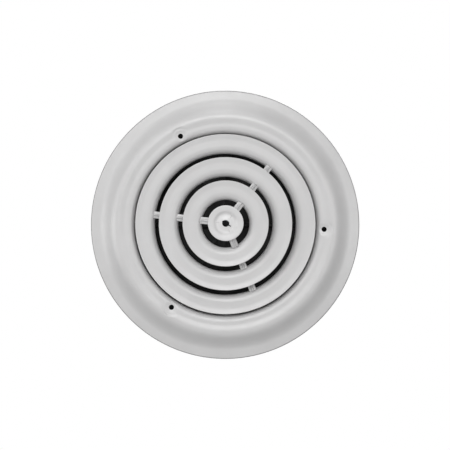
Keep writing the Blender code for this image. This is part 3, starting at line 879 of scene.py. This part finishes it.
def hinge_rod():
    """A chamfered rod along X."""
    reach = high("hinge_rod")[0]
    soft = 0.4 * MM
    outline = [(0.0, reach), (ROD_R - soft, reach), (ROD_R, reach - soft)]
    outline += [(ROD_R, soft - reach), (ROD_R - soft, -reach), (0.0, -reach)]
    piece = lathe("hinge_rod_body", outline, closed=False, stations=48)
    move(piece, Matrix.Translation((0, 0, HINGE_Z)) @ Matrix.Rotation(math.radians(90), 4, "Y"))
    dress(piece, "hinge_rod", "black_oxide")


def cam_point(angle):
    """Where the nut's pin sits in a blade's own frame when the blade is open by an angle."""
    z = NUT_TRAVEL * angle / OPEN_ANGLE - NUT_DROP
    return Vector((
        PIN_Y * math.cos(angle) + z * math.sin(angle),
        z * math.cos(angle) - PIN_Y * math.sin(angle),
    ))


def on_yz(outline, half, x):
    """A plate from an outline of (y, z), lying across X."""
    plate = extrude("tool", outline, half)
    return move(plate, Matrix(((0, 0, 1, x), (1, 0, 0, 0), (0, 1, 0, 0), (0, 0, 0, 1))))


def cam_slot(x):
    """A tool for the slot that the pin follows, with a little room past each end."""
    margin = math.radians(2.0)
    reach = PIN_R + PIN_CLEARANCE
    path = [cam_point(-margin + (OPEN_ANGLE + 2 * margin) * i / 32) for i in range(33)]
    left = []
    right = []
    for point, along in zip(path, directions(path)):
        side = Vector((-along.y, along.x)) * reach
        left.append(point + side)
        right.append(point - side)
    outline = list(left)
    for i in range(1, 12):
        outline.append(path[-1] + Matrix.Rotation(-math.pi * i / 12, 2) @ (left[-1] - path[-1]))
    outline += right[::-1]
    for i in range(1, 12):
        outline.append(path[0] + Matrix.Rotation(-math.pi * i / 12, 2) @ (right[0] - path[0]))
    return on_yz(outline, 2 * MM, x)


def cam_lug():
    """The lug under a blade that holds the cam slot."""
    reach = PIN_R + PIN_CLEARANCE + LUG_MARGIN
    points = [(4.5 * MM, 0.0), (13.0 * MM, 0.0)]
    for i in range(7):
        centre = cam_point(OPEN_ANGLE * i / 6)
        points += [tuple(centre + Vector(polar(reach, 10.0 * j).xy)) for j in range(36)]
    bm = bmesh.new()
    for x in LUG_X:
        for y, z in points:
            bm.verts.new((x, y, z))
    hull = bmesh.ops.convex_hull(bm, input=bm.verts)
    bmesh.ops.delete(bm, geom=hull["geom_interior"], context="VERTS")
    return finish_mesh("tool", bm)


def border(rows):
    """The vertices round a grid of rows, in order."""
    edge = [row[-1] for row in rows] + rows[-1][-2::-1]
    return edge + [row[0] for row in reversed(rows[:-1])] + rows[0][1:-1]


def blade_plate():
    """A half-moon sheet with a stiffening bead inside its rim and two ribs from the hinge.

    Its rows lie closer where the ribs and the bead are.
    """
    start = math.degrees(math.asin(BLADE_EDGE_Y / (BLADE_R - 0.6 * MM)))
    turns = [start + (50.0 - start) * i / 30 for i in range(30)]
    turns += [50.0 + 0.7 * i for i in range(29)]
    turns += [70.0 + 20.0 * i / 12 for i in range(12)]
    turns += [90.0] + [180.0 - turn for turn in reversed(turns)]
    steps = [i / 14 * 0.76 for i in range(14)] + [0.76 + i * 0.008 for i in range(11)]
    steps += [0.86, 0.9, 0.94, 0.97, 1.0]
    bm = bmesh.new()
    sheets = []
    for half in (SHEET / 2, -SHEET / 2):
        rows = []
        for turn in turns:
            edge_r = BLADE_EDGE_Y / math.sin(math.radians(turn))
            row = []
            for step in steps:
                r = edge_r + (BLADE_R - edge_r) * step
                point = polar(r, turn, half)
                ends = 1.0 - smooth_step(min(turn, 180.0 - turn), 9.0, 15.0)
                drop = ends * hump(r - BLADE_BEAD_R, BLADE_BEAD_HALF)
                for rib_turn in BLADE_RIB_TURNS:
                    across = r * math.sin(math.radians(turn - rib_turn))
                    rib = hump(across, BLADE_RIB_HALF) * smooth_step(r, *BLADE_RIB_END)
                    drop = max(drop, rib * (1.0 - smooth_step(r, *BLADE_RIB_START)))
                point.z -= BLADE_BEAD_RISE * drop
                row.append(bm.verts.new(point))
            rows.append(row)
        skin(bm, rows, closed_rings=False)
        sheets.append(rows)
    skin(bm, [border(rows) for rows in sheets])
    return finish_mesh("damper_blade_a_plate", bm, 40)


def blades():
    """The same pressing twice, the second turned half a turn about Z."""
    own = []
    others = [(-KNUCKLE_ENDS[0], KNUCKLE_ENDS[0])]
    for i in range(4):
        span = (KNUCKLE_ENDS[i], KNUCKLE_ENDS[i + 1] - GAP)
        mirrored = (-span[1], -span[0])
        own.append(span if i % 2 == 0 else mirrored)
        others.append(mirrored if i % 2 == 0 else span)
    others.append((KNUCKLE_ENDS[4], BLADE_R + MM))
    others.append((-BLADE_R - MM, -KNUCKLE_ENDS[4]))
    tubes = bars(KNUCKLE_OUTER_R, [((a, 0, 0), (b, 0, 0)) for a, b in own])
    rooms = []
    for parity in (0, 1):
        spans = [((a - GAP, 0, 0), (b + GAP, 0, 0)) for a, b in sorted(others)[parity::2]]
        rooms.append(bars(KNUCKLE_ROOM_R, spans))
    bore = bars(KNUCKLE_INNER_R, [((-BLADE_R, 0, 0), (BLADE_R, 0, 0))])
    blade_a = blade_plate()
    slot = cam_slot((LUG_X[0] + LUG_X[1]) / 2)
    carve(blade_a, [*rooms, bore, slot], [cam_lug(), tubes])
    blade_b = bpy.data.objects.new("damper_blade_b_plate", blade_a.data.copy())
    bpy.context.scene.collection.objects.link(blade_b)
    lift = Matrix.Translation((0, 0, HINGE_Z))
    move(blade_a, lift)
    move(blade_b, lift @ Matrix.Rotation(math.pi, 4, "Z"))
    for piece, node in ((blade_a, "damper_blade_a"), (blade_b, "damper_blade_b")):
        dress(piece, node, "black_enamel", node)


def travel_nut():
    """The nut with its bore, and the two pins seated in it."""
    z = HINGE_Z - NUT_DROP
    nut = slab(low("travel_nut"), high("travel_nut"))
    nut.name = "travel_nut_block"
    nut_bore = bars(NUT_HOLE_R, [((0, 0, z - 5 * MM), (0, 0, z + 5 * MM))], 64)
    sockets = []
    for node, side in (("nut_pin_a", 1), ("nut_pin_b", -1)):
        ends = sorted((low(node)[0], high(node)[0]), key=abs)
        start = Vector((ends[0] - side * GAP, side * PIN_Y, z))
        sockets.append((start, (ends[1], side * PIN_Y, z)))
        soft = 0.25 * MM
        length = abs(ends[1] - ends[0])
        outline = [(0.0, length), (PIN_R - soft, length), (PIN_R, length - soft)]
        outline += [(PIN_R, soft), (PIN_R - soft, 0.0), (0.0, 0.0)]
        pin = lathe(node + "_body", outline, closed=False, stations=40)
        turn = Matrix.Rotation(math.radians(90 * side), 4, "Y")
        move(pin, Matrix.Translation((ends[0], side * PIN_Y, z)) @ turn)
        dress(pin, node, "zinc_plate", "travel_nut")
    carve(nut, [nut_bore, bars(PIN_R + GAP, sockets, 40)], edge=0.3 * MM, sharp=30)
    dress(nut, "travel_nut", "zinc_plate", "travel_nut")


def adjusting_screw():
    """Slotted pan head, grooved neck and a cut helical thread up to a chamfered tip."""
    bottom = low("adjusting_screw")[2]
    tip = high("adjusting_screw")[2]
    head_r = high("adjusting_screw")[0]
    shoulder = bottom + 2.5 * MM
    clip_low = low("retaining_clip")[2]
    clip_high = high("retaining_clip")[2]
    groove = (clip_low - GAP / 2, clip_high + GAP / 2)
    thread_start = groove[1] + 0.8 * MM
    thread_end = tip - 0.6 * MM
    outline = [(0.0, tip), (THREAD_R - 0.9 * MM, tip)]
    count = round((thread_end - thread_start) / THREAD_PITCH * 10)
    for i in range(count + 1):
        outline.append((THREAD_R, thread_end + (thread_start - thread_end) * i / count))
    outline += [(THREAD_R, groove[1]), (2.45 * MM, groove[1]), (2.45 * MM, groove[0])]
    outline += [(THREAD_R, groove[0]), (THREAD_R, shoulder), (head_r - 0.2 * MM, shoulder)]
    outline += [(head_r, shoulder - 0.2 * MM)]
    outline += arc((head_r - 1.2 * MM, bottom + 1.0 * MM), (1.2 * MM, 1.0 * MM), 0, -90, 8)
    outline += [(0.0, bottom)]

    def thread(point, r, z):
        """A V thread, fading in next to the groove."""
        if not thread_start < z <= thread_end:
            return point
        turn = math.atan2(point.y, point.x) / math.tau
        phase = (z / THREAD_PITCH - turn) % 1.0
        depth = THREAD_DEPTH * max(0.0, 1.0 - abs(phase - 0.5) / 0.42)
        fade = min(z - thread_start, MM) / MM
        scale = 1.0 - depth * fade / r
        return Vector((point.x * scale, point.y * scale, z))

    piece = lathe("adjusting_screw_body", outline, closed=False, stations=48, shape=thread)
    slot = slab((-6 * MM, -0.6 * MM, bottom - MM), (6 * MM, 0.6 * MM, bottom + 1.2 * MM))
    carve(piece, [slot])
    dress(piece, "adjusting_screw", "black_oxide", "adjusting_screw")


def washer_and_clip():
    """The thrust washer, and an E-clip with three prongs."""
    outer_r = high("thrust_washer")[0]
    bottom = low("thrust_washer")[2]
    top = high("thrust_washer")[2]
    outline = [(outer_r, top), (outer_r, bottom), (NUT_HOLE_R, bottom), (NUT_HOLE_R, top)]
    washer = lathe("thrust_washer_ring", rounded(outline, 0.15 * MM, 4), stations=72, sharp=50)
    dress(washer, "thrust_washer", "zinc_plate")
    clip_r = high("retaining_clip")[1]
    outer = arc((0.0, 0.0), (clip_r, clip_r), 125, 415, 60)
    inner = []
    for i in range(101):
        turn = 415 - 2.9 * i
        prong = any(abs(turn - middle) < 20 for middle in (398, 270, 142))
        inner.append(tuple(polar(2.8 * MM if prong else 3.8 * MM, turn).xy))
    half = (high("retaining_clip")[2] - low("retaining_clip")[2]) / 2
    clip = extrude("retaining_clip_ring", rounded(outer + inner, 0.3 * MM, 4), half, 50)
    move(clip, Matrix.Translation((0, 0, low("retaining_clip")[2] + half)))
    carve(clip, edge=0.1 * MM, sharp=50)
    dress(clip, "retaining_clip", "zinc_plate", "adjusting_screw")


# ---------------------------------------------------------------- stage

# Lights: name, degrees away from straight below the part, degrees about Z from +X,
# metres from the part, metres across, watts
LIGHTS = (
    ("wide_front", 0.0, 0.0, 2.5, 4.4, 22.4),
    ("key", 22.0, -92.0, 2.2, 0.8, 10.6),
    ("high_fill", 60.0, -90.0, 2.0, 0.8, 4.8),
    ("high_left_fill", 45.0, -140.0, 2.0, 0.8, 3.8),
    ("left_fill", 50.0, 180.0, 2.0, 0.8, 6.8),
    ("right_fill", 36.0, 0.0, 2.0, 0.8, 4.0),
    ("low_fill", 35.0, 90.0, 2.0, 0.8, 1.4),
    ("above", 148.0, -56.0, 2.0, 1.2, 20.0),
    ("wide_above", 180.0, 0.0, 2.4, 3.6, 34.0),
)
AMBIENT = 0.08

# Floor: level, half width, and how bright it looks near the piece and far off
FLOOR_LEVEL = -2.6
FLOOR_HALF = 25.0
FLOOR_FADE = (3.0, 15.0)
FLOOR_GLOW = 0.62
HORIZON_GLOW = 1.3

# Camera: metres and degrees
CAMERA_DISTANCE = 1.8
TILT_DOWN = 1.95
TILT_LEFT = 0.7
AIM = Vector((-0.0003, 0.0006, 0.0))
VIEW_WIDTH = 0.4956


def light(name, tilt, turn, distance, size, energy):
    """A round soft light that faces the part and isn't seen itself."""
    tilt = math.radians(tilt)
    place = polar(distance * math.sin(tilt), turn, -distance * math.cos(tilt))
    lamp = bpy.data.lights.new(name, "AREA")
    lamp.shape = "DISK"
    lamp.size = size
    lamp.energy = energy
    holder = bpy.data.objects.new(name, lamp)
    bpy.context.scene.collection.objects.link(holder)
    holder.location = place
    holder.visible_camera = False
    holder.rotation_euler = (-place).to_track_quat("-Z", "Y").to_euler()


def world():
    """White to the eye, dimmer as a light on the piece."""
    studio = bpy.data.worlds.new("white_studio")
    bpy.context.scene.world = studio
    studio.use_nodes = True
    tree = studio.node_tree
    background = tree.nodes["Background"]
    background.inputs["Color"].default_value = (1.0, 1.0, 1.0, 1.0)
    path = tree.nodes.new("ShaderNodeLightPath")
    strength = tree.nodes.new("ShaderNodeMapRange")
    strength.inputs["To Min"].default_value = AMBIENT
    strength.inputs["To Max"].default_value = 1.0
    tree.links.new(path.outputs["Is Camera Ray"], strength.inputs["Value"])
    tree.links.new(strength.outputs["Result"], background.inputs["Strength"])


def floor():
    """A plain pale floor that fades into the white surroundings."""
    bm = bmesh.new()
    bmesh.ops.create_grid(bm, x_segments=1, y_segments=1, size=FLOOR_HALF)
    piece = finish_mesh("pale_floor", bm)
    piece.location.z = FLOOR_LEVEL
    material, tree, shader = nodes_of("pale_floor")
    tone = ramp(tree, noise(tree, 3.0), [(0.3, (0.79, 0.79, 0.78)), (0.7, (0.81, 0.81, 0.80))])
    tree.links.new(tone, shader.inputs["Base Color"])
    tree.links.new(tone, shader.inputs["Emission Color"])
    shader.inputs["Roughness"].default_value = 0.9
    level = tree.nodes.new("ShaderNodeMapRange")
    level.inputs["To Min"].default_value = HORIZON_GLOW
    level.inputs["To Max"].default_value = FLOOR_GLOW
    tree.links.new(within(tree, *FLOOR_FADE), level.inputs["Value"])
    glow = tree.nodes.new("ShaderNodeMath")
    glow.operation = "MULTIPLY"
    path = tree.nodes.new("ShaderNodeLightPath")
    tree.links.new(path.outputs["Is Camera Ray"], glow.inputs[0])
    tree.links.new(level.outputs["Result"], glow.inputs[1])
    tree.links.new(glow.outputs["Value"], shader.inputs["Emission Strength"])
    piece.data.materials.append(material)


def shadows():
    """The unlit duct and ceiling void behind the part: dark to the eye from below, nothing else."""
    material, tree, shader = nodes_of("unlit_void")
    tone = ramp(tree, noise(tree, 30.0), [(0.3, (0.003, 0.003, 0.003)), (0.7, (0.006, 0.006, 0.006))])
    tree.links.new(tone, shader.inputs["Base Color"])
    shader.inputs["Roughness"].default_value = 1.0
    shader.inputs["Specular IOR Level"].default_value = 0.0
    mix = tree.nodes.new("ShaderNodeMixShader")
    path = tree.nodes.new("ShaderNodeLightPath")
    sides = tree.nodes.new("ShaderNodeNewGeometry")
    seen = tree.nodes.new("ShaderNodeMath")
    seen.operation = "SUBTRACT"
    seen.use_clamp = True
    tree.links.new(path.outputs["Is Camera Ray"], seen.inputs[0])
    tree.links.new(sides.outputs["Backfacing"], seen.inputs[1])
    tree.links.new(seen.outputs["Value"], mix.inputs[0])
    tree.links.new(tree.nodes.new("ShaderNodeBsdfTransparent").outputs["BSDF"], mix.inputs[1])
    tree.links.new(shader.outputs["BSDF"], mix.inputs[2])
    tree.links.new(mix.outputs["Shader"], tree.nodes["Material Output"].inputs["Surface"])
    places = [("duct_shadow", 98.3 * MM, Vector((0, 0, high("damper_ring")[2] - 0.2 * MM)))]
    for number, degrees in enumerate(SEAT_ANGLES):
        seat = polar(SEAT_CIRCLE_R, degrees, FLOOR_Z + SHEET + WELL_DEPTH + 0.35 * MM)
        places.append((f"screw_hole_shadow_{number + 1}", 4.2 * MM, seat))
    for name, radius, centre in places:
        bm = bmesh.new()
        bmesh.ops.create_circle(bm, cap_ends=True, segments=64, radius=radius)
        mesh = bpy.data.meshes.new(name)
        bmesh.ops.recalc_face_normals(bm, faces=bm.faces)
        for face in bm.faces:
            if face.normal.z > 0:
                face.normal_flip()
        bmesh.ops.translate(bm, vec=centre, verts=bm.verts)
        bm.to_mesh(mesh)
        bm.free()
        disc = bpy.data.objects.new(name, mesh)
        bpy.context.scene.collection.objects.link(disc)
        mesh.materials.append(material)


def camera():
    """Below the face, looking up, a little off the axis. Image right is +X and image up is -Y."""
    data = bpy.data.cameras.new("camera")
    data.sensor_width = 36.0
    data.lens = data.sensor_width * CAMERA_DISTANCE / VIEW_WIDTH
    data.clip_end = 20.0
    holder = bpy.data.objects.new("camera", data)
    bpy.context.scene.collection.objects.link(holder)
    offset = (-math.tan(math.radians(TILT_LEFT)), math.tan(math.radians(TILT_DOWN)), -1.0)
    backward = Vector(offset).normalized()
    holder.location = AIM + backward * CAMERA_DISTANCE
    up = backward.cross(Vector((1.0, 0.0, 0.0))).normalized()
    right = up.cross(backward)
    holder.rotation_euler = Matrix((right, up, backward)).transposed().to_euler()
    bpy.context.scene.camera = holder


bpy.context.scene.view_settings.view_transform = "Standard"
for light_values in LIGHTS:
    light(*light_values)
world()
floor()
shadows()
camera()
face_frame()
duct_collar()
for ring_node, ring_neck_r in RINGS:
    air_ring(ring_node, ring_neck_r)
centre_disc()
for arm_index, arm_degrees in enumerate(ARM_ANGLES):
    arm(arm_index, arm_degrees)
damper_ring()
damper_bridge()
rivets()
hinge_rod()
blades()
travel_nut()
adjusting_screw()
washer_and_clip()
